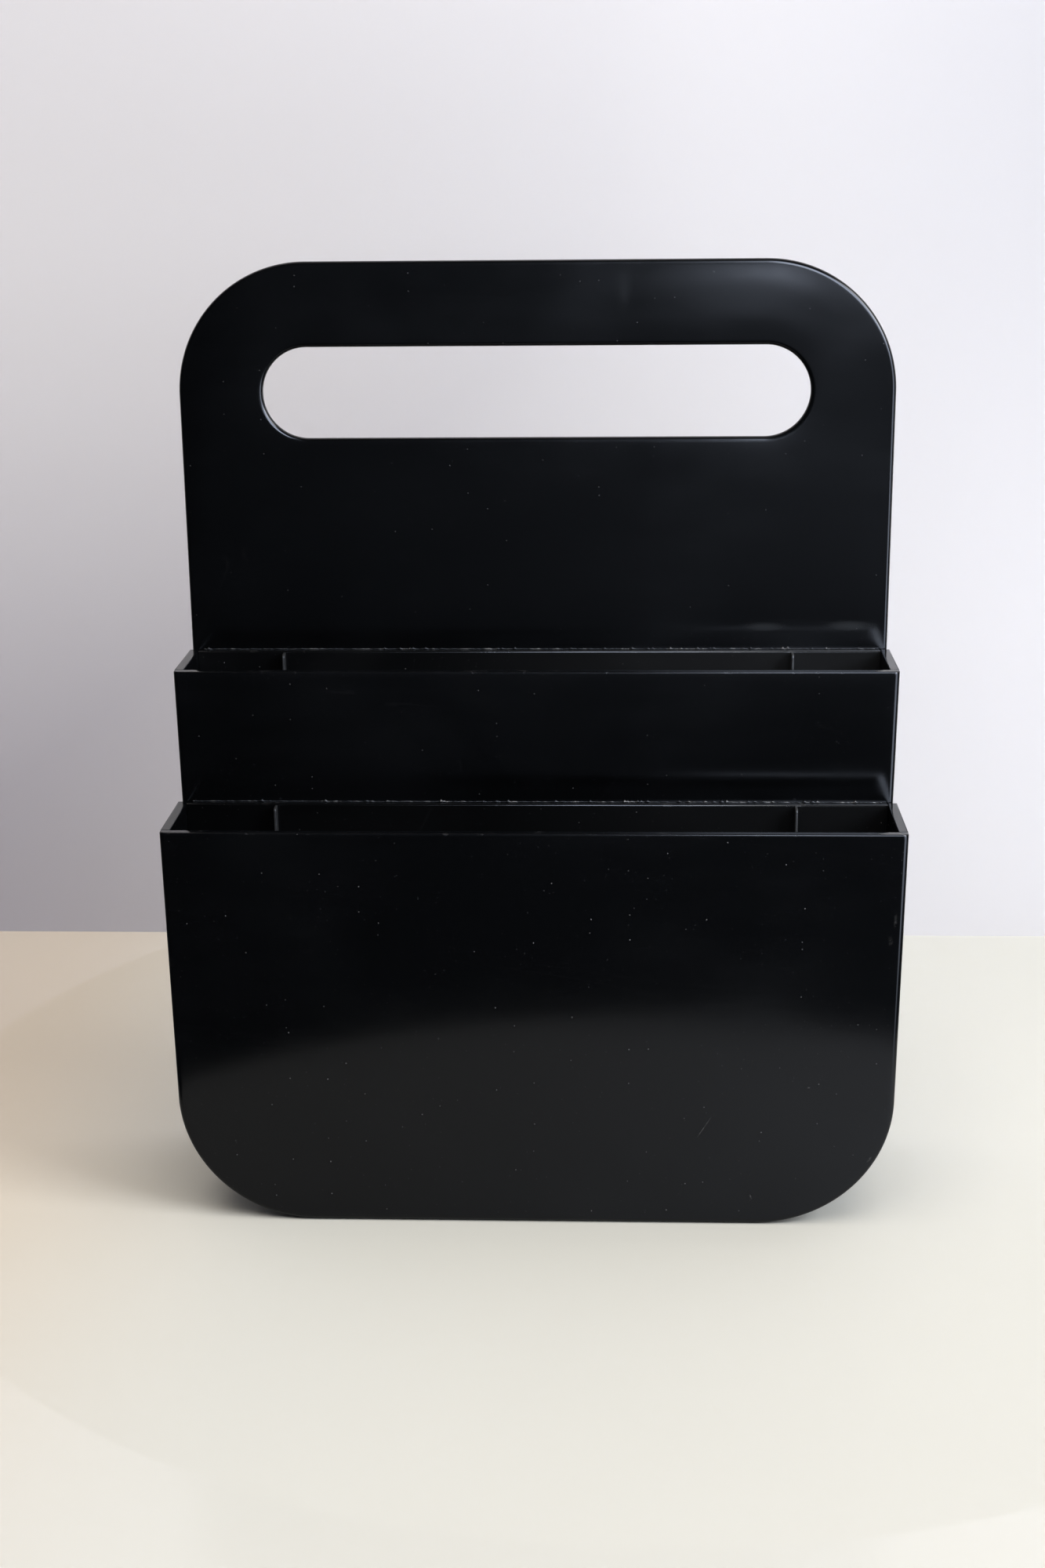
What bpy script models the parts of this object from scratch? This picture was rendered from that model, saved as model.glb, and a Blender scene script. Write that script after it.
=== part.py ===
"""Carry-handled desk file rack: a tall back panel with a hand slot and two stepped, open-topped pockets.

Every wall is a flat plate or a bent strip of black plastic, cemented to its neighbour face to face.
The part's frame: X across the width, -Y towards the front, Z up, origin on the table under the centre.
All sizes are in metres.
"""
from math import atan, cos, pi, radians, sin, sqrt

import bmesh
import bpy

JOINT_GAP = 0.0003               # cement line between two pieces that touch

# Back panel
PANEL_WIDTH = 0.305
PANEL_HEIGHT = 0.400
PANEL_THICKNESS = 0.004
PANEL_CORNER_RADIUS = 0.0555
PANEL_EDGE_RADIUS = 0.0018

# Hand slot through the back panel
SLOT_LENGTH = 0.233
SLOT_HEIGHT = 0.0385
SLOT_CENTRE_HEIGHT = 0.3452

# Pockets: the same walls and corners, at two heights
WALL = 0.004
REAR_PLATE_THICKNESS = 0.003
POCKET_TAPER = 0.0135            # how far each side leans out, per metre of height
POCKET_CORNER_RADIUS = 0.0575
POCKET_FRONT_EDGE_RADIUS = 0.0022
SHEET_EDGE_RADIUS = 0.0004
RIB_THICKNESS = 0.001            # the two upright ribs on each rear plate, which guide a folder's edges
RIB_DEPTH = 0.005
RIB_EDGE_RADIUS = 0.0002
RIB_SPACING = 0.222              # between the centres of a pocket's two ribs
RIB_DROP = 0.0005                # how far a rib's top stays below the rim
POCKETS = (
    {"name": "mid_pocket", "rim_height": 0.2333, "rim_width": 0.3068, "depth": 0.0415},
    {"name": "front_pocket", "rim_height": 0.1760, "rim_width": 0.3080, "depth": 0.0445},
)

TOTAL_DEPTH = PANEL_THICKNESS + sum(pocket["depth"] for pocket in POCKETS)
PANEL_FRONT_Y = TOTAL_DEPTH / 2 - PANEL_THICKNESS

CORNER_STEPS = 20                # straight facets in a quarter of a large corner
SLOT_END_STEPS = 32              # straight facets in each half-round end of the slot
EDGE_STEPS = 3                   # facets across a rounded edge
SHARP_ANGLE = radians(35)
MERGE_DISTANCE = 0.00001
FLAT_ANGLE = radians(0.5)

BLACK = (0.010, 0.011, 0.012, 1.0)
GLOSS_ROUGHNESS = 0.28


def new_collection():
    collection = bpy.data.collections.new("desk_file_rack")
    bpy.context.scene.collection.children.link(collection)
    return collection


def plastic(part_name):
    """Glossy black plastic for one part."""
    material = bpy.data.materials.new(part_name + "_plastic")
    material.use_nodes = True
    shader = material.node_tree.nodes["Principled BSDF"]
    shader.inputs["Base Color"].default_value = BLACK
    shader.inputs["Roughness"].default_value = GLOSS_ROUGHNESS
    shader.inputs["Metallic"].default_value = 0.0
    return material


def arc(centre, radius, start, end, steps):
    """Points along a circle from one angle to another, both ends included."""
    points = []
    for step in range(steps + 1):
        angle = start + (end - start) * step / steps
        points.append((centre[0] + radius * cos(angle), centre[1] + radius * sin(angle)))
    return points


def rounded_rectangle(half_width, low, high, radius):
    """Outline of an upright rectangle with four equal round corners."""
    centre_x = half_width - radius
    right = arc((centre_x, low + radius), radius, -pi / 2, 0, CORNER_STEPS)
    right += arc((centre_x, high - radius), radius, 0, pi / 2, CORNER_STEPS)
    return right + [(-x, z) for x, z in reversed(right)]


def stadium(half_length, centre_height, radius):
    """Outline of a slot with half-round ends."""
    centre_x = half_length - radius
    right = arc((centre_x, centre_height), radius, -pi / 2, pi / 2, SLOT_END_STEPS)
    return right + [(-x, z) for x, z in reversed(right)]


def corner_centre_x(pocket):
    """Distance from the middle to the centre of a pocket's bottom corners."""
    base_half_width = pocket["rim_width"] / 2 - POCKET_TAPER * pocket["rim_height"]
    slant = sqrt(1 + POCKET_TAPER ** 2)
    return base_half_width + POCKET_CORNER_RADIUS * (POCKET_TAPER - slant)


def pocket_outline(pocket, inset):
    """Front view of a pocket, right rim to left rim, moved inwards by inset from its outer face."""
    lean = atan(POCKET_TAPER)
    rim_x = pocket["rim_width"] / 2 - inset * sqrt(1 + POCKET_TAPER ** 2)
    right = [(rim_x, pocket["rim_height"])]
    right += arc((corner_centre_x(pocket), POCKET_CORNER_RADIUS), POCKET_CORNER_RADIUS - inset,
                 -lean, -pi / 2, CORNER_STEPS)
    return right + [(-x, z) for x, z in reversed(right)]


def floor_height(pocket, x):
    """Height of the top of the pocket's floor at a distance x from the middle."""
    centre_x = corner_centre_x(pocket)
    inner_radius = POCKET_CORNER_RADIUS - WALL
    if x <= centre_x:
        return WALL
    return POCKET_CORNER_RADIUS - sqrt(inner_radius ** 2 - (x - centre_x) ** 2)


def flat_curve(name, outlines, extrude, edge_radius=0.0):
    """2D curve in the XZ plane, filled both sides, facing the front."""
    curve = bpy.data.curves.new(name, "CURVE")
    curve.dimensions = "2D"
    curve.fill_mode = "BOTH"
    curve.extrude = extrude
    curve.bevel_depth = edge_radius
    curve.bevel_resolution = EDGE_STEPS - 1
    for outline in outlines:
        spline = curve.splines.new("POLY")
        spline.points.add(len(outline) - 1)
        for point, (x, z) in zip(spline.points, outline):
            point.co = (x, z, 0, 1)
        spline.use_cyclic_u = True
    guide = bpy.data.objects.new(name + "_outline", curve)
    guide.rotation_euler = (pi / 2, 0, 0)
    return guide


def plate(collection, name, outlines, front_y, back_y, edge_radius=0.0):
    """Closed plate between two depths, made a mesh from its filled outline."""
    thickness = back_y - front_y
    guide = flat_curve(name, outlines, thickness / 2 - edge_radius, edge_radius)
    guide.location = (0, (front_y + back_y) / 2, 0)
    collection.objects.link(guide)
    bpy.context.view_layer.update()
    depsgraph = bpy.context.evaluated_depsgraph_get()
    mesh = bpy.data.meshes.new_from_object(guide.evaluated_get(depsgraph))
    mesh.name = name
    body = bmesh.new()
    body.from_mesh(mesh)
    bmesh.ops.remove_doubles(body, verts=body.verts, dist=MERGE_DISTANCE)
    bmesh.ops.recalc_face_normals(body, faces=body.faces)
    body.to_mesh(mesh)
    body.free()
    part = bpy.data.objects.new(name, mesh)
    part.matrix_world = guide.matrix_world
    collection.objects.link(part)
    bpy.data.curves.remove(guide.data)
    return part


def round_edges(part, rim_height, front_radius):
    """Round a plate's corners: the outline of its front face by front_radius, its rim only slightly."""
    body = bmesh.new()
    body.from_mesh(part.data)
    bmesh.ops.dissolve_limit(body, angle_limit=FLAT_ANGLE, verts=body.verts, edges=body.edges)
    weights = body.edges.layers.float.new("bevel_weight_edge")
    front = max(vert.co.z for vert in body.verts)
    for edge in body.edges:
        on_front = all(abs(vert.co.z - front) < MERGE_DISTANCE for vert in edge.verts)
        on_rim = all(abs(vert.co.y - rim_height) < MERGE_DISTANCE for vert in edge.verts)
        if on_rim:
            edge[weights] = SHEET_EDGE_RADIUS / front_radius
        elif on_front:
            edge[weights] = 1.0
    body.to_mesh(part.data)
    body.free()
    bevel = part.modifiers.new("rounded_edges", "BEVEL")
    bevel.limit_method = "WEIGHT"
    bevel.width = front_radius
    bevel.segments = EDGE_STEPS


def finish(part):
    part.data.shade_smooth()
    part.data.set_sharp_from_angle(angle=SHARP_ANGLE)
    part.data.materials.append(plastic(part.name))


def build_panel(collection):
    outer = rounded_rectangle(PANEL_WIDTH / 2 - PANEL_EDGE_RADIUS, PANEL_EDGE_RADIUS,
                              PANEL_HEIGHT - PANEL_EDGE_RADIUS, PANEL_CORNER_RADIUS - PANEL_EDGE_RADIUS)
    slot = stadium(SLOT_LENGTH / 2 + PANEL_EDGE_RADIUS, SLOT_CENTRE_HEIGHT,
                   SLOT_HEIGHT / 2 + PANEL_EDGE_RADIUS)
    panel = plate(collection, "back_panel", [outer, slot], PANEL_FRONT_Y,
                  PANEL_FRONT_Y + PANEL_THICKNESS, PANEL_EDGE_RADIUS)
    finish(panel)


def build_rib(collection, name, pocket, centre_x, back_y):
    outer_face = abs(centre_x) + RIB_THICKNESS / 2
    low = floor_height(pocket, outer_face) + JOINT_GAP
    high = pocket["rim_height"] - RIB_DROP
    centre = (centre_x, back_y - RIB_DEPTH / 2, (low + high) / 2)
    bpy.ops.mesh.primitive_cube_add(size=1, location=centre)
    rib = bpy.context.object
    rib.name = name
    rib.data.name = name
    rib.scale = (RIB_THICKNESS, RIB_DEPTH, high - low)
    bpy.ops.object.transform_apply(location=False, rotation=False, scale=True)
    for owner in rib.users_collection:
        owner.objects.unlink(rib)
    collection.objects.link(rib)
    bevel = rib.modifiers.new("rounded_edges", "BEVEL")
    bevel.width = RIB_EDGE_RADIUS
    bevel.segments = EDGE_STEPS
    finish(rib)


def build_pocket(collection, pocket, back_y):
    """One pocket standing in front of the face at back_y; returns the depth of its own front face."""
    name = pocket["name"]
    rim_height = pocket["rim_height"]
    front_y = back_y - pocket["depth"]
    band_front = front_y + WALL + JOINT_GAP
    band_back = back_y - JOINT_GAP
    rear_plate_front = band_back - REAR_PLATE_THICKNESS

    front_plate = plate(collection, name + "_front_plate", [pocket_outline(pocket, 0.0)],
                        front_y, front_y + WALL)
    round_edges(front_plate, rim_height, POCKET_FRONT_EDGE_RADIUS)
    finish(front_plate)

    band_outline = pocket_outline(pocket, 0.0) + pocket_outline(pocket, WALL)[::-1]
    band = plate(collection, name + "_side_band", [band_outline], band_front, band_back)
    round_edges(band, rim_height, SHEET_EDGE_RADIUS)
    finish(band)

    rear_plate = plate(collection, name + "_rear_plate", [pocket_outline(pocket, WALL + JOINT_GAP)],
                       rear_plate_front, band_back)
    round_edges(rear_plate, rim_height, SHEET_EDGE_RADIUS)
    finish(rear_plate)

    for side, direction in (("left", -1), ("right", 1)):
        build_rib(collection, name + "_" + side + "_rib", pocket, direction * RIB_SPACING / 2,
                  rear_plate_front - JOINT_GAP)
    return front_y


def main():
    for existing in list(bpy.data.objects):
        bpy.data.objects.remove(existing)
    collection = new_collection()
    build_panel(collection)
    face_y = PANEL_FRONT_Y
    for pocket in POCKETS:
        face_y = build_pocket(collection, pocket, face_y)


main()
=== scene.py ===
from math import atan, cos, pi, radians, sin, sqrt
from random import Random

import bmesh
import bpy
from mathutils import Matrix, Vector


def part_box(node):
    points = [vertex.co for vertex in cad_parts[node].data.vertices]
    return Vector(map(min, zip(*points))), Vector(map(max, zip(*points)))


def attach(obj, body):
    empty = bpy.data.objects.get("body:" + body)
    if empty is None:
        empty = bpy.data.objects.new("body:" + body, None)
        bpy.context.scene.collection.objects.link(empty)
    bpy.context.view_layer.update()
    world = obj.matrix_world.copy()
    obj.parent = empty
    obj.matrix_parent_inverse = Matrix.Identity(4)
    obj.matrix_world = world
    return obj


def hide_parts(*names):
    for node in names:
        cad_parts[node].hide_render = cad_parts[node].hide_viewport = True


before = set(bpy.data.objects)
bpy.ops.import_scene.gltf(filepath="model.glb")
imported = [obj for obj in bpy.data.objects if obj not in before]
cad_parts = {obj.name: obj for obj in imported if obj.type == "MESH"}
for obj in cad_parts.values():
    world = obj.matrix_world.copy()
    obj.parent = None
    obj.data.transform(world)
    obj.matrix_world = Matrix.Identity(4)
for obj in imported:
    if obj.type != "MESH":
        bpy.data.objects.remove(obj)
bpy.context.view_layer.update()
scene = bpy.context.scene
print("frame loaded:", len(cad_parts), "parts")


cameraPlace = {
    "position": (0.0355, -0.9313, 0.4644),
    "turn": radians(-2.516),        # to the right of straight ahead
    "down": radians(16.746),
    "roll": radians(-0.605),
    "lens": 52.26,
    "sensor": 36.0,
}


def makeCamera(place):
    data = bpy.data.cameras.new("frontCamera")
    data.lens = place["lens"]
    data.sensor_width = place["sensor"]
    camera = bpy.data.objects.new("frontCamera", data)
    scene.collection.objects.link(camera)
    aim = Matrix.Rotation(-place["turn"], 4, "Z") @ Matrix.Rotation(pi / 2 - place["down"], 4, "X")
    camera.matrix_world = Matrix.Translation(place["position"]) @ aim @ Matrix.Rotation(place["roll"], 4, "Z")
    scene.camera = camera


makeCamera(cameraPlace)
print("camera placed")


class Wire:
    # One output socket of a node tree, which can be used in sums.
    def __init__(self, tree, socket=None):
        self.tree = tree
        self.socket = socket

    def add(self, kind, settings=None, values=None, out=0):
        node = self.tree.nodes.new(kind)
        for name, setting in (settings or {}).items():
            setattr(node, name, setting)
        for name, value in (values or {}).items():
            if isinstance(value, Wire):
                self.tree.links.new(value.socket, node.inputs[name])
            else:
                node.inputs[name].default_value = value
        return Wire(self.tree, node.outputs[out])

    def maths(self, operation, *others):
        return self.add("ShaderNodeMath", {"operation": operation}, dict(enumerate((self, *others))))

    def __add__(self, other):
        return self.maths("ADD", other)

    def __sub__(self, other):
        return self.maths("SUBTRACT", other)

    def __rsub__(self, other):
        return self.add("ShaderNodeMath", {"operation": "SUBTRACT"}, {0: other, 1: self})

    def __mul__(self, other):
        return self.maths("MULTIPLY", other)

    __radd__ = __add__
    __rmul__ = __mul__


def objectPlace(start):
    return start.add("ShaderNodeTexCoord", out="Object")


def stretched(place, sizes, turn=(0, 0, 0), shift=(0, 0, 0)):
    # Turned first and then divided by the sizes, so that a pattern is drawn out along the turned axes.
    return place.add("ShaderNodeMapping", {"vector_type": "TEXTURE"},
                     {"Vector": place, "Scale": sizes, "Rotation": turn, "Location": shift})


def noise(place, scale, detail=2.0, roughness=0.5, distortion=0.0):
    return place.add("ShaderNodeTexNoise", {}, {"Vector": place, "Scale": scale, "Detail": detail,
                                               "Roughness": roughness, "Distortion": distortion})


def soften(value, low, high, fromValue=0.0, toValue=1.0):
    # A smooth step: fromValue up to low, toValue from high on.
    return value.add("ShaderNodeMapRange", {"interpolation_type": "SMOOTHSTEP"},
                     {"Value": value, "From Min": low, "From Max": high, "To Min": fromValue, "To Max": toValue})


def mixColour(factor, first, second):
    return factor.add("ShaderNodeMix", {"data_type": "RGBA"},
                      {"Factor": factor, 6: first, 7: second}, out=2)


def bump(height, distance=1.0, strength=1.0):
    return height.add("ShaderNodeBump", {}, {"Height": height, "Distance": distance, "Strength": strength})


def newMaterial(name):
    material = bpy.data.materials.new(name)
    material.use_nodes = True
    shader = material.node_tree.nodes["Principled BSDF"]
    return material, shader, Wire(material.node_tree)


def feed(shader, values):
    for name, value in values.items():
        if isinstance(value, Wire):
            value.tree.links.new(value.socket, shader.inputs[name])
        else:
            shader.inputs[name].default_value = value


plasticLook = {
    "black": (0.0012, 0.0014, 0.0018, 1.0),
    "fadedAndLit": (0.0024, 0.0027, 0.0034, 1.0),
    "bloom": (0.0036, 0.0041, 0.0052, 1.0),
    "filmAndReflection": (0.024, 0.027, 0.031, 1.0),
    "dust": (0.18, 0.18, 0.185, 1.0),
    "worn": (0.050, 0.050, 0.054, 1.0),
    "refraction": 1.37,
    "gloss": 0.11,                  # roughness of clean plastic
    "smudged": 0.17,                # roughness under finger marks
    "waveLength": 0.11,             # soft unevenness of the sheet, metres
    "waveHeight": 0.00007,
    "peelHeight": 0.0000012,
    "scratchDepth": 0.0000015,
    "speckEvery": 0.0080,           # metres between dust specks
    "speckRadius": 0.00027,
}


def hairlines(place, turn, spacing, width, length):
    # Long thin scratches: the level lines of a noise drawn out along one direction, broken into pieces.
    along = stretched(place, (length, spacing, spacing), turn)
    field = noise(along, 1.0, 0.0)
    line = 1 - soften((field - 0.5).maths("ABSOLUTE"), 0.0, width)
    pieces = soften(noise(along, 0.9, 1.0), 0.60, 0.66)
    return line * pieces


def part(place, axis):
    return place.add("ShaderNodeSeparateXYZ", {}, {"Vector": place}, out=axis)


def specks(place, every, radius):
    # Round dust specks of many sizes, in some of the cells only, on walls that face forwards or sideways.
    flat = place.add("ShaderNodeCombineXYZ", {}, {"X": part(place, "X") + part(place, "Y") * 0.9,
                                                 "Y": part(place, "Z")})
    cell = {"Vector": flat, "Scale": 1 / every}
    reach = place.add("ShaderNodeTexVoronoi", {"voronoi_dimensions": "2D"}, cell, out="Distance")
    chance = place.add("ShaderNodeTexVoronoi", {"voronoi_dimensions": "2D"}, cell, out="Color")
    size = chance.add("ShaderNodeSeparateColor", {}, {"Color": chance}, out="Red")
    limit = soften(size, 0.72, 1.0) * (radius / every)
    return soften(limit - reach, 0.0, 0.3 * radius / every)


def smear(place, spot):
    # A finger mark or a scuff: a soft oval on a wall that faces the front.
    oval = stretched(place, (spot["width"], 1000.0, spot["height"]), (0, spot.get("turn", 0.0), 0),
                     (spot["x"], 0, spot["z"]))
    reach = place.add("ShaderNodeVectorMath", {"operation": "LENGTH"}, {0: oval}, out="Value")
    return (1 - soften(reach, 0.1, 1.0)) * spot["strength"]


def seamBloom(place, height):
    # A duller, lighter strip just above a glued seam, stronger to the right.
    up = part(place, "Z")
    patch = soften(noise(stretched(place, (0.09, 0.09, 0.06)), 1.0, 1.0), 0.25, 0.65, 0.6, 1.0)
    patch = patch * soften(part(place, "X"), -0.13, 0.14, 0.12, 1.0)
    return soften(up, height, height + 0.0006) * (1 - soften(up, height + 0.005, height + 0.0105)) * patch


def blackPlastic(name, look, dustiness=1.0, wear=1.0, smears=(), seams=(), scuffs=(),
                 filmsAndReflections=()):
    material, shader, start = newMaterial(name)
    place = objectPlace(start)

    cloud = noise(place, 9.0, 3.0, 0.55, 0.4)
    streak = noise(stretched(place, (0.05, 0.02, 0.014)), 1.0, 3.0, 0.6)
    hazeAndLight = soften(cloud * 0.8 + streak * 0.2, 0.40, 0.70)
    for spot in smears:
        hazeAndLight = hazeAndLight.maths("MAXIMUM", smear(place, spot))
    # On the rear walls and ribs this mask becomes mostly painted light: three quarters of it is a rise from left
    # to right, towards the side the window light falls from.
    if "paintedLightAcross" in look:
        hazeAndLight = hazeAndLight * 0.25 + soften(part(place, "X"), *look["paintedLightAcross"]) * 0.75

    fine = hairlines(place, (0, radians(8), 0), 0.012, 0.006, 0.16)
    steep = hairlines(place, (0, radians(-62), 0), 0.019, 0.005, 0.12)
    scratch = fine.maths("MAXIMUM", steep)

    dust = specks(place, look["speckEvery"], look["speckRadius"]) * dustiness
    tiny = specks(stretched(place, (1, 1, 1), (0.3, 0.5, 0.2)), look["speckEvery"] * 0.4,
                  look["speckRadius"] * 0.45) * (0.5 * dustiness)
    dirt = dust.maths("MAXIMUM", tiny)
    for spot in scuffs:
        grain = soften(noise(place, 900.0, 2.0), 0.35, 0.60)
        dirt = dirt.maths("MAXIMUM", smear(place, spot) * grain)

    edge = start.add("ShaderNodeAttribute", {"attribute_name": "edge"}, out="Fac")
    chips = soften(noise(stretched(place, (1, 1, 1), (0, 0, 0), (0.7, 0.2, 0.4)), 140.0, 4.0, 0.7), 0.58, 0.72)
    worn = edge * chips * wear

    tone = mixColour(hazeAndLight, look["black"], look["fadedAndLit"])
    bloom = hazeAndLight * 0.05
    for height, strength in seams:
        bloom = bloom.maths("MAXIMUM", seamBloom(place, height) * strength)
    tone = mixColour(bloom, tone, look["bloom"])
    # Pale spots painted into the colour: one small film, and painted reflections of the rim below.
    for spot in filmsAndReflections:
        tone = mixColour(smear(place, spot), tone, look["filmAndReflection"])
    tone = mixColour(scratch * 0.03, tone, look["worn"])
    tone = mixColour(worn * 0.7, tone, look["worn"])
    tone = mixColour(dirt * 0.8, tone, look["dust"])

    rough = look["gloss"] + hazeAndLight * (look["smudged"] - look["gloss"])
    rough = rough + bloom * 0.15 + streak * 0.03 + worn * 0.22 + scratch * 0.03 + dirt * 0.4

    wave = noise(place, 1 / look["waveLength"], 1.0) * look["waveHeight"]
    peel = noise(place, 620.0, 2.0) * look["peelHeight"]
    marks = scratch * (-look["scratchDepth"]) + dirt * 0.00004 - worn * 0.00006
    feed(shader, {"Base Color": tone, "Roughness": rough, "IOR": look["refraction"],
                  "Normal": bump(wave + peel + marks)})
    return material


panelSmears = (
    {"x": 0.0375, "z": 0.388, "width": 0.0035, "height": 0.011, "strength": 0.8},
    {"x": 0.083, "z": 0.386, "width": 0.040, "height": 0.014, "strength": 0.7},
    {"x": -0.06, "z": 0.300, "width": 0.060, "height": 0.030, "strength": 0.35},
)
# The first spot is a small pale film; the other three, just above the mid pocket's rear rim, are painted
# reflections of that rim, ending in the slant of the side wall's rim at the right.
panelFilmsAndReflections = (
    {"x": 0.0375, "z": 0.3880, "width": 0.0045, "height": 0.0130, "strength": 0.16},
    {"x": 0.0990, "z": 0.2434, "width": 0.0120, "height": 0.0026, "strength": 0.75},
    {"x": 0.1356, "z": 0.2438, "width": 0.0135, "height": 0.0029, "strength": 0.95},
    {"x": 0.1480, "z": 0.2395, "width": 0.0022, "height": 0.0065, "strength": 0.65, "turn": radians(-14)},
)
frontSmears = (
    {"x": 0.0400, "z": 0.050, "width": 0.0550, "height": 0.0200, "strength": 0.45},
)
frontScuffs = (
    {"x": 0.1497, "z": 0.139, "width": 0.0010, "height": 0.0050, "strength": 0.14},
    {"x": 0.1480, "z": 0.130, "width": 0.0014, "height": 0.0030, "strength": 0.09},
    {"x": 0.0718, "z": 0.0446, "width": 0.0003, "height": 0.0085, "strength": 0.42, "turn": radians(32)},
    {"x": 0.0925, "z": 0.013, "width": 0.0004, "height": 0.0018, "strength": 0.60, "turn": radians(-20)},
    {"x": 0.1340, "z": 0.016, "width": 0.0006, "height": 0.0022, "strength": 0.45, "turn": radians(50)},
    {"x": 0.1425, "z": 0.031, "width": 0.0006, "height": 0.0024, "strength": 0.25, "turn": radians(35)},
    {"x": 0.1160, "z": 0.064, "width": 0.0009, "height": 0.0005, "strength": 0.45},
)
panelPlastic = blackPlastic("panelPlastic", plasticLook, 0.35, 0.5, panelSmears,
                            [(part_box("mid_pocket_rear_plate")[1].z, 0.85)], (), panelFilmsAndReflections)
midWallPlastic = blackPlastic("midWallPlastic", plasticLook, 0.5, 1.0, (),
                              [(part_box("front_pocket_rear_plate")[1].z, 0.40)])
wallPlastic = blackPlastic("wallPlastic", plasticLook, 1.0, 1.0, frontSmears, (), frontScuffs)
# The rear walls' plastic carries painted light: its faded tone is far paler and is drawn in more and more towards
# the right.
rearLook = dict(plasticLook, black=(0.0022, 0.0025, 0.0031, 1.0), fadedAndLit=(0.0200, 0.0215, 0.0245, 1.0),
                paintedLightAcross=(-0.11, 0.13))
rearPlastic = blackPlastic("rearPlastic", rearLook, 0.6, 1.0)
# A darker copy of the rear walls' plastic, for the front pocket: painted shade.
shadedRearLook = dict(rearLook, black=(0.0014, 0.0016, 0.0020, 1.0), fadedAndLit=(0.0095, 0.0103, 0.0118, 1.0))
shadedRearPlastic = blackPlastic("shadedRearPlastic", shadedRearLook, 0.6, 1.0)
# The ribs take a paler, duller copy of the rear walls' plastic: their pale tone is a painted highlight along
# them, and they carry the same painted light towards the right.
ribLook = dict(rearLook, black=(0.020, 0.021, 0.023, 1.0), fadedAndLit=(0.040, 0.042, 0.045, 1.0), gloss=0.34,
               smudged=0.46)
ribPlastic = blackPlastic("ribPlastic", ribLook, 0.8, 1.0)


cementLook = {
    "pale": (0.26, 0.26, 0.27, 1.0),
    "grey": (0.008, 0.0085, 0.010, 1.0),
    "grain": 900.0,
}


def driedCement(look):
    material, shader, start = newMaterial("driedCement")
    place = objectPlace(start)
    grain = noise(place, look["grain"], 4.0, 0.65)
    patch = soften(noise(place, 170.0, 2.0), 0.50, 0.62) * soften(part(place, "X"), -0.15, 0.06, 0.35, 1.0)
    feed(shader, {"Base Color": mixColour(patch * soften(grain, 0.35, 0.6), look["grey"], look["pale"]),
                  "Roughness": soften(grain, 0.3, 0.7, 0.35, 0.65),
                  "Normal": bump(grain * 0.0001)})
    return material


cement = driedCement(cementLook)
print("materials made")


edgeMarks = {
    "guard": 0.0005,                # width of the flat ring, metres
    "rimReach": 0.0012,
    "rim": 0.4,
    "outline": 0.08,
}


def finishPiece(name, body, material, replaced, wide):
    # The mesh becomes a piece of the rack, in place, smooth, on the rack's one body.
    bmesh.ops.remove_doubles(body, verts=body.verts, dist=0.000002)
    guardEdges(body, wide)
    for face in body.faces:
        face.smooth = True
    mesh = bpy.data.meshes.new(name)
    body.to_mesh(mesh)
    body.free()
    mesh.materials.append(material)
    piece = bpy.data.objects.new(name, mesh)
    scene.collection.objects.link(piece)
    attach(piece, "root")
    if replaced:
        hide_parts(replaced)
    return piece


def roundEdges(body, edges, radius, segments):
    rounded = body.faces.layers.int["rounded"]
    made = bmesh.ops.bevel(body, geom=edges, offset=radius, offset_type="OFFSET", segments=segments,
                           profile=0.5, affect="EDGES", clamp_overlap=True, material=-1)
    for face in made["faces"]:
        face[rounded] = 1


def guardEdges(body, wide):
    # A narrow flat ring beside each rounded edge keeps the wide faces flat when shaded smooth.
    # Vertices of the rounded edges carry more along the rim than elsewhere, so that wear gathers on them.
    rounded = body.faces.layers.int["rounded"]
    flats = [face for face in body.faces if not face[rounded] and wide(face.normal)]
    bmesh.ops.inset_region(body, faces=flats, thickness=edgeMarks["guard"], depth=0.0, use_even_offset=True,
                           use_boundary=False)
    edge = body.verts.layers.float.new("edge")
    top = max(vert.co.z for vert in body.verts)
    for vert in body.verts:
        if any(face[rounded] for face in vert.link_faces):
            onRim = vert.co.z > top - edgeMarks["rimReach"]
            vert[edge] = edgeMarks["rim"] if onRim else edgeMarks["outline"]


def facesFrontOrBack(normal):
    return abs(normal.y) > 0.9


def facesSideways(normal):
    return abs(normal.x) > 0.9


def anyWay(normal):
    return True


def startBody():
    body = bmesh.new()
    body.faces.layers.int.new("rounded")
    return body


def uprightSheet(body, low, high, y):
    # A four-sided sheet facing the front; returns its corners.
    width, height = high.x - low.x, high.z - low.z
    middle = Vector(((low.x + high.x) / 2, y, (low.z + high.z) / 2))
    place = (Matrix.Translation(middle) @ Matrix.Rotation(pi / 2, 4, "X")
             @ Matrix.Diagonal((width, height, 1, 1)))
    return bmesh.ops.create_grid(body, x_segments=1, y_segments=1, size=0.5, matrix=place)["verts"]


def roundCorners(body, corners, radius, segments):
    bmesh.ops.bevel(body, geom=corners, offset=radius, offset_type="OFFSET", segments=segments,
                    profile=0.5, affect="VERTICES", clamp_overlap=False, material=-1)


def raiseFront(body, faces, rings, width, drop):
    # Rings that lift a sheet's front towards its middle, so that it falls away softly at its outline.
    def depth(ring):
        return drop * (1 - ring / rings) ** 2
    for ring in range(rings):
        bmesh.ops.inset_region(body, faces=faces, thickness=width / rings,
                               depth=depth(ring) - depth(ring + 1), use_even_offset=True, use_boundary=True)
    bmesh.ops.inset_region(body, faces=faces, thickness=width / rings, depth=0.0,
                           use_even_offset=True, use_boundary=True)


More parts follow.
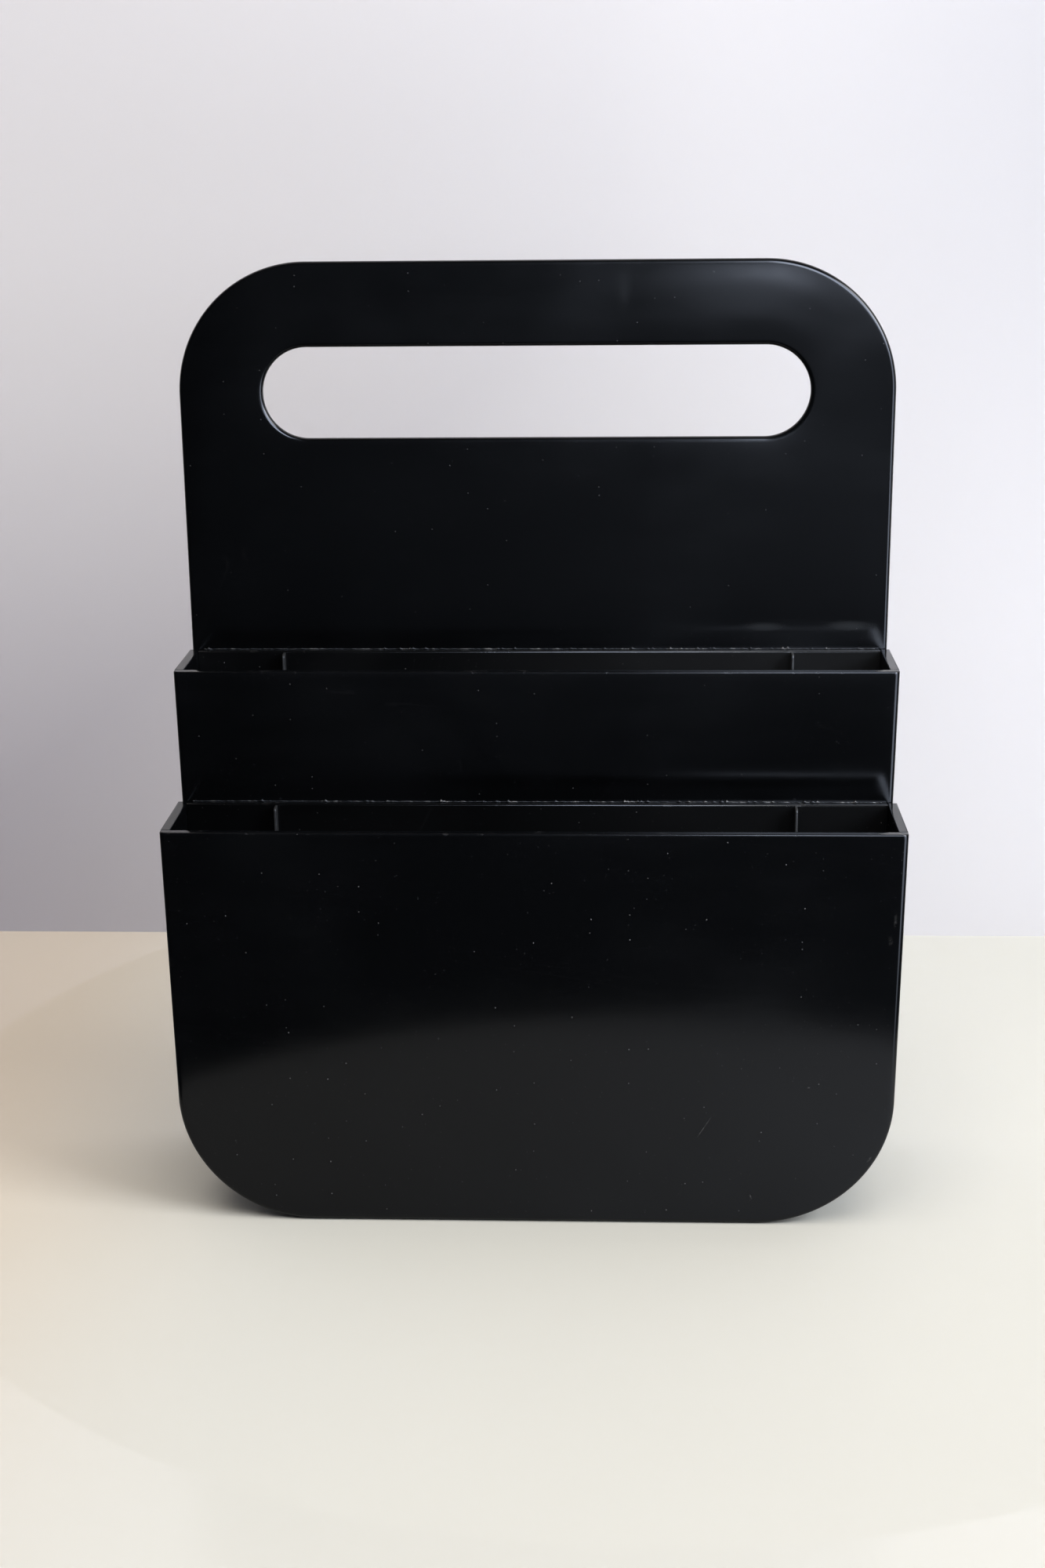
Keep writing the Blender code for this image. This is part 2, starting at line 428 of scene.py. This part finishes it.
def thicken(body, backY):
    # A closed plate from its front sheet, with a flat back.
    made = bmesh.ops.extrude_face_region(body, geom=list(body.faces))
    for item in made["geom"]:
        if isinstance(item, bmesh.types.BMVert):
            item.co.y = backY
    bmesh.ops.recalc_face_normals(body, faces=list(body.faces))


def sharpEdges(body, limit, test):
    return [edge for edge in body.edges
            if len(edge.link_faces) == 2 and edge.calc_face_angle() > limit
            and all(test(vert.co) for vert in edge.verts)]


panelShape = {
    "cornerRadius": 0.0555,
    "cornerSegments": 40,
    "slotLength": 0.233,
    "slotHeight": 0.0385,
    "slotCentre": 0.3452,
    "edgeRadius": 0.0018,
    "edgeSegments": 7,
    "fallWidth": 0.0125,            # how far in from its outlines the front falls away
    "fallDrop": 0.00022,
    "fallRings": 4,
}


def makePanel(shape):
    low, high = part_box("back_panel")
    edgeY = low.y + shape["fallDrop"]
    body = startBody()
    corners = uprightSheet(body, low, high, edgeY)
    roundCorners(body, corners, shape["cornerRadius"], shape["cornerSegments"])
    half = Vector((shape["slotLength"] / 2, 0, shape["slotHeight"] / 2))
    middle = Vector((0, 0, shape["slotCentre"]))
    slotCorners = uprightSheet(body, middle - half, middle + half, edgeY)
    roundCorners(body, slotCorners, half.z * 0.9999, shape["cornerSegments"])
    bmesh.ops.delete(body, geom=list(body.faces), context="FACES_ONLY")
    bmesh.ops.bridge_loops(body, edges=list(body.edges))
    bmesh.ops.recalc_face_normals(body, faces=list(body.faces))
    if sum(face.normal.y * face.calc_area() for face in body.faces) > 0:
        bmesh.ops.reverse_faces(body, faces=list(body.faces))
    raiseFront(body, list(body.faces), shape["fallRings"], shape["fallWidth"], shape["fallDrop"])
    thicken(body, high.y)
    roundEdges(body, sharpEdges(body, radians(50), lambda co: True), shape["edgeRadius"], shape["edgeSegments"])
    return finishPiece("panel_sheet", body, panelPlastic, "back_panel",
                       facesFrontOrBack)


makePanel(panelShape)
print("back panel made")


pocketShape = {
    "wall": 0.004,
    "lean": 0.0135,                 # how far a side leans out, per metre of height
    "cornerRadius": 0.0575,
    "cornerSegments": 32,
    "frontRadius": 0.0022,
    "frontSegments": 7,
    "rimRadius": 0.0004,
    "rimSegments": 3,
    "ribNose": 0.0015,
    "seam": 0.00008,                # gap that shows between the front wall and the side wall
    "fallWidth": 0.0066,
    "fallDrop": 0.00008,
    "fallRings": 2,
}


def pocketSheet(body, box, inset, y):
    # A pocket's outline, inset from its outer face: sides that lean out, round corners below.
    low, high = box
    lean = pocketShape["lean"]
    corners = uprightSheet(body, low, high, y)
    height = high.z - low.z
    for vert in corners:
        side = 1 if vert.co.x > 0 else -1
        if vert.co.z < (low.z + high.z) / 2:
            vert.co.z = low.z + inset
            vert.co.x = side * (high.x - lean * (height - inset) - inset * sqrt(1 + lean ** 2))
        else:
            vert.co.x = side * (high.x - inset * sqrt(1 + lean ** 2))
    bottom = [vert for vert in corners if vert.co.z < (low.z + high.z) / 2]
    turn = pi / 2 - atan(lean)
    reach = (pocketShape["cornerRadius"] - inset) * sin(turn / 2) / cos(turn / 2)
    roundCorners(body, bottom, reach, pocketShape["cornerSegments"])


def makeFrontWall(pocket, shape):
    node = pocket + "_front_plate"
    low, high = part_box(node)
    body = startBody()
    pocketSheet(body, (low, high), 0.0, low.y + shape["fallDrop"])
    raiseFront(body, list(body.faces), shape["fallRings"], shape["fallWidth"], shape["fallDrop"])
    thicken(body, high.y)
    rim = high.z
    outline = sharpEdges(body, radians(50), lambda co: co.y < low.y + 0.0002)
    roundEdges(body, [edge for edge in outline if not all(vert.co.z > rim - 0.0001 for vert in edge.verts)],
               shape["frontRadius"], shape["frontSegments"])
    roundEdges(body, sharpEdges(body, radians(50), lambda co: co.z > rim - 0.0001),
               shape["rimRadius"], shape["rimSegments"])
    material = midWallPlastic if pocket == "mid_pocket" else wallPlastic
    return finishPiece(pocket + "_front_wall", body, material, node,
                       facesFrontOrBack)


def makeSideWall(pocket, shape):
    node = pocket + "_side_band"
    low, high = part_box(node)
    frontLow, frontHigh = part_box(pocket + "_front_plate")
    startY = frontHigh.y + shape["seam"]
    body = startBody()
    pocketSheet(body, (low, high), 0.0, startY)
    bmesh.ops.delete(body, geom=list(body.faces), context="FACES_ONLY")
    top = [edge for edge in body.edges if all(vert.co.z > high.z - 0.0001 for vert in edge.verts)]
    bmesh.ops.delete(body, geom=top, context="EDGES")
    made = bmesh.ops.extrude_edge_only(body, edges=list(body.edges))
    for item in made["geom"]:
        if isinstance(item, bmesh.types.BMVert):
            item.co.y = high.y
    bmesh.ops.recalc_face_normals(body, faces=list(body.faces))
    faces = list(body.faces)
    outward = sum(face.normal.x * face.calc_center_median().x for face in faces)
    if outward < 0:
        bmesh.ops.reverse_faces(body, faces=faces)
    bmesh.ops.solidify(body, geom=faces, thickness=shape["wall"])
    for vert in body.verts:
        if vert.co.z > high.z - shape["wall"] / 2:
            vert.co.z = high.z
    bmesh.ops.recalc_face_normals(body, faces=list(body.faces))
    roundEdges(body, sharpEdges(body, radians(50), lambda co: True), shape["rimRadius"] / 2, shape["rimSegments"])
    return finishPiece(pocket + "_side_wall", body, wallPlastic, node,
                       anyWay)


def makeRearWall(pocket, shape):
    node = pocket + "_rear_plate"
    low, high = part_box(node)
    bandLow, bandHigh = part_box(pocket + "_side_band")
    body = startBody()
    pocketSheet(body, (bandLow, bandHigh), shape["wall"] + shape["seam"], low.y)
    thicken(body, high.y)
    roundEdges(body, sharpEdges(body, radians(50), lambda co: co.z > high.z - 0.0001),
               shape["rimRadius"], shape["rimSegments"])
    material = rearPlastic if pocket == "mid_pocket" else shadedRearPlastic
    return finishPiece(pocket + "_rear_wall", body, material, node,
                       facesFrontOrBack)


def makeRib(pocket, side, shape):
    # An upright strip on the rear wall: its front upper corner is rounded.
    node = pocket + "_" + side + "_rib"
    low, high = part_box(node)
    body = startBody()
    bmesh.ops.create_cube(body, size=1.0, matrix=Matrix.Translation((low + high) / 2)
                          @ Matrix.Diagonal((*(high - low), 1)))
    nose = [edge for edge in body.edges
            if all(vert.co.z > high.z - 0.0001 and vert.co.y < low.y + 0.0001 for vert in edge.verts)]
    bmesh.ops.bevel(body, geom=nose, offset=shape["ribNose"], offset_type="OFFSET", segments=6, profile=0.5,
                    affect="EDGES", clamp_overlap=True, material=-1)
    roundEdges(body, sharpEdges(body, radians(50), lambda co: True), shape["rimRadius"] / 2, shape["rimSegments"])
    return finishPiece(pocket + "_" + side + "_guide", body, ribPlastic, node, facesSideways)


for pocket in ("mid_pocket", "front_pocket"):
    makeFrontWall(pocket, pocketShape)
    makeSideWall(pocket, pocketShape)
    makeRearWall(pocket, pocketShape)
    for side in ("left", "right"):
        makeRib(pocket, side, pocketShape)
    print(pocket, "made")


cementShape = {
    "beadRadius": 0.00018,
    "beadSides": 8,
    "beadStep": 0.0007,
    "beadGap": 0.00002,             # the bead lies in the corner without cutting into either wall
    "lumpChance": (0.02, 0.16),     # how often the bead swells, at its left and its right end
    "lumpSize": (1.7, 3.4),
}


def makeCement(pocket, backY, shape, seed):
    # One lumpy bead along the rear rim, from end to end.
    draw = Random(seed)
    low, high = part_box(pocket + "_rear_plate")
    body = startBody()
    ends = high.x - 0.002
    steps = int(2 * ends / shape["beadStep"])
    bmesh.ops.create_circle(body, cap_ends=False, segments=shape["beadSides"], radius=shape["beadRadius"],
                            matrix=Matrix.Translation((-ends, backY - 0.0003, high.z + 0.0003))
                            @ Matrix.Rotation(pi / 2, 4, "Y"))
    edges = list(body.edges)
    for step in range(steps):
        made = bmesh.ops.extrude_edge_only(body, edges=edges)["geom"]
        ring = [item for item in made if isinstance(item, bmesh.types.BMVert)]
        edges = [edge for edge in made if isinstance(edge, bmesh.types.BMEdge)
                 and all(vert in ring for vert in edge.verts)]
        middle = sum((vert.co for vert in ring), Vector()) / len(ring)
        size = shape["beadRadius"] * draw.uniform(0.5, 1.3)
        often = shape["lumpChance"][0] + (shape["lumpChance"][1] - shape["lumpChance"][0]) * step / steps
        if draw.random() < often:
            size = shape["beadRadius"] * draw.uniform(*shape["lumpSize"])
        clear = size * 1.15 + shape["beadGap"]
        target = Vector((middle.x + 2 * ends / steps, backY - clear, high.z + clear))
        for vert in ring:
            vert.co = target + (vert.co - middle).normalized() * size * draw.uniform(0.85, 1.15)
    bmesh.ops.holes_fill(body, edges=list(body.edges), sides=shape["beadSides"])
    bmesh.ops.recalc_face_normals(body, faces=list(body.faces))
    return finishPiece(pocket + "_cement", body, cement, None, lambda normal: False)


makeCement("mid_pocket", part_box("back_panel")[0].y, cementShape, 11)
makeCement("front_pocket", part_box("mid_pocket_front_plate")[0].y, cementShape, 12)
print("cement laid")


stageLook = {
    "floorColour": (0.705, 0.710, 0.675, 1.0),
    "floorWarmShadow": (0.67, 0.595, 0.50, 1.0),
    "reflectedColour": (0.325, 0.327, 0.316, 1.0),
    "wallLitColour": (0.75, 0.74, 0.785, 1.0),
    "wallShade": (0.45, 0.445, 0.525, 1.0),
    "wallTopShade": (0.54, 0.53, 0.565, 1.0),
    "wallY": 0.31,
    "reach": 5.0,
    "discRadius": 0.345,
    "discMiddle": (0.045, 0.07),
    "floorHeight": -0.0004,
    "discHeight": -0.0002,
}


def stagePlane(name, matrix, material):
    body = bmesh.new()
    bmesh.ops.create_grid(body, x_segments=1, y_segments=1, size=1.0, matrix=matrix)
    mesh = bpy.data.meshes.new(name)
    body.to_mesh(mesh)
    body.free()
    mesh.materials.append(material)
    plane = bpy.data.objects.new(name, mesh)
    scene.collection.objects.link(plane)
    return plane


def paintedSurface(name, colour, roughness, warmShadow=None):
    # A pale painted top; with a warm shadow tone, it carries painted shade: warmer and darker at the left, where
    # the rack's shadow falls, and darker towards the front.
    material, shader, start = newMaterial(name)
    place = objectPlace(start)
    mottle = noise(place, 3.0, 3.0)
    dull = tuple(0.965 * value for value in colour[:3]) + (1.0,)
    paint = mixColour(soften(mottle, 0.3, 0.7), colour, dull)
    if warmShadow:
        paint = mixColour(soften(part(place, "X"), -0.30, -0.10, 1.0, 0.0), paint, warmShadow)
        nearerShade = soften(part(place, "Y"), -0.38, 0.02, 0.70, 0.0)
        paint = mixColour(nearerShade, paint, tuple(0.86 * value for value in colour[:3]) + (1.0,))
    feed(shader, {"Base Color": paint,
                  "Roughness": roughness + noise(place, 14.0, 3.0) * 0.08,
                  "Normal": bump(noise(place, 160.0, 2.0) * 0.000004)})
    return material


def shadedWall(look):
    material, shader, start = newMaterial("wallPaint")
    place = objectPlace(start)
    across = part(place, "X")
    up = part(place, "Z")
    # The backdrop's colour is painted shade: the light mask leaves it darker low at the left, and a darker tone
    # is painted at the top right.
    light = soften(across, -0.42, 0.12)
    light = light.maths("MAXIMUM", soften(up, 0.0, 0.42) * 0.92)
    paint = mixColour(light, look["wallShade"], look["wallLitColour"])
    paint = mixColour(soften(up, 0.16, 0.52) * soften(across, 0.04, 0.36), paint, look["wallTopShade"])
    feed(shader, {"Base Color": paint, "Roughness": 0.6,
                  "Normal": bump(noise(place, 90.0, 2.0) * 0.00001)})
    # From behind the wall is not there, so that the rack's back can be seen.
    away = start.add("ShaderNodeNewGeometry", out="Backfacing")
    clear = start.add("ShaderNodeBsdfTransparent")
    solid = Wire(start.tree, shader.outputs["BSDF"])
    shown = start.add("ShaderNodeMixShader", {}, {0: away, 1: solid, 2: clear})
    start.tree.links.new(shown.socket, start.tree.nodes["Material Output"].inputs["Surface"])
    return material


def makeStage(look):
    reach = look["reach"]
    floor = stagePlane("floor", Matrix.Translation((0, 0, look["floorHeight"])) @ Matrix.Scale(reach, 4),
                       paintedSurface("floorPaint", look["floorColour"], 0.16, look["floorWarmShadow"]))
    floor.visible_glossy = False
    stagePlane("backdrop", Matrix.Translation((0, look["wallY"], reach - 0.5)) @ Matrix.Rotation(pi / 2, 4, "X")
               @ Matrix.Scale(reach, 4), shadedWall(look))

    # The pale disc that only reflections see: past its rim the gloss shows the dim room.
    body = bmesh.new()
    bmesh.ops.create_circle(body, cap_ends=True, segments=96, radius=look["discRadius"],
                            matrix=Matrix.Translation((*look["discMiddle"], look["discHeight"])))
    mesh = bpy.data.meshes.new("reflectedFloor")
    body.to_mesh(mesh)
    body.free()
    mesh.materials.append(paintedSurface("reflectedPaint", look["reflectedColour"], 0.5))
    disc = bpy.data.objects.new("reflectedFloor", mesh)
    scene.collection.objects.link(disc)
    disc.visible_camera = False
    disc.visible_diffuse = False
    disc.visible_shadow = False


def makeRoomCard():
    # What stands behind the camera: a dim room, lighter to the right, with a bright window low at the right.
    material = bpy.data.materials.new("roomGlow")
    material.use_nodes = True
    tree = material.node_tree
    tree.nodes.clear()
    start = Wire(tree)
    place = objectPlace(start)
    across = part(place, "X")
    up = part(place, "Z")
    blotch = noise(place, 1.6, 3.0, 0.55, 0.3)
    glow = soften(across, -0.8, 0.7, 0.045, 0.33) * soften(blotch, 0.3, 0.7, 0.65, 1.3)
    glow = glow * soften(up, -0.45, -0.22, 0.35, 1.0)
    hazeAndLight = soften(across, 0.17, 0.42) * soften(up, 0.20, 0.36) * (1 - soften(across, 0.75, 1.1)) * 1.9
    hazeAndLight = hazeAndLight + smear(place, {"x": 0.262, "z": 0.300, "width": 0.105, "height": 0.10, "strength": 14.0})
    hazeAndLight = hazeAndLight + smear(place, {"x": 0.185, "z": 0.215, "width": 0.08, "height": 0.04, "strength": 1.3,
                                "turn": radians(-25)})
    window = soften(across, 0.23, 0.44) * soften(up, 0.52, 0.78) * (1 - soften(up, 2.2, 2.9)) * 14.0
    side = soften(across, 1.2, 1.8) * soften(up, -1.6, -0.6) * (1 - soften(up, 2.2, 2.9)) * 5.0
    strength = (glow + hazeAndLight + window.maths("MAXIMUM", side)) * 1.12
    light = start.add("ShaderNodeEmission", {}, {"Color": (0.72, 0.81, 1.0, 1.0), "Strength": strength})
    output = tree.nodes.new("ShaderNodeOutputMaterial")
    tree.links.new(light.socket, output.inputs["Surface"])
    card = stagePlane("roomCard", Matrix.Translation((0, -2.5, 0.3)) @ Matrix.Rotation(-pi / 2, 4, "X")
                      @ Matrix.Scale(5.0, 4), material)
    card.visible_camera = False
    card.visible_diffuse = False
    card.visible_shadow = False


lamps = (
    {"name": "window", "at": (2.6, -1.3, 1.9), "aim": (0.0, 0.0, 0.1), "size": (1.6, 1.8), "power": 96,
     "colour": (0.97, 0.99, 1.0), "mirrored": True},
    {"name": "ceiling", "at": (0.0, -0.7, 2.2), "aim": (0.0, 0.2, 0.2), "size": (2.2, 2.2), "power": 44,
     "colour": (1.0, 0.92, 0.82), "mirrored": False},
)


def makeLamp(lamp):
    data = bpy.data.lights.new(lamp["name"], "AREA")
    data.shape = "RECTANGLE"
    data.size, data.size_y = lamp["size"]
    data.energy = lamp["power"]
    data.color = lamp["colour"]
    light = bpy.data.objects.new(lamp["name"], data)
    scene.collection.objects.link(light)
    look = (Vector(lamp["aim"]) - Vector(lamp["at"])).to_track_quat("-Z", "Y")
    light.matrix_world = Matrix.Translation(lamp["at"]) @ look.to_matrix().to_4x4()
    light.visible_camera = False
    light.visible_glossy = lamp["mirrored"]
    return light


def makeWorld():
    world = bpy.data.worlds.new("softRoom")
    world.use_nodes = True
    background = world.node_tree.nodes["Background"]
    background.inputs["Color"].default_value = (0.88, 0.93, 1.0, 1.0)
    background.inputs["Strength"].default_value = 0.05
    scene.world = world
    scene.view_settings.view_transform = "Standard"


makeStage(stageLook)
makeRoomCard()
for lamp in lamps:
    makeLamp(lamp)
makeWorld()
print("stage set")
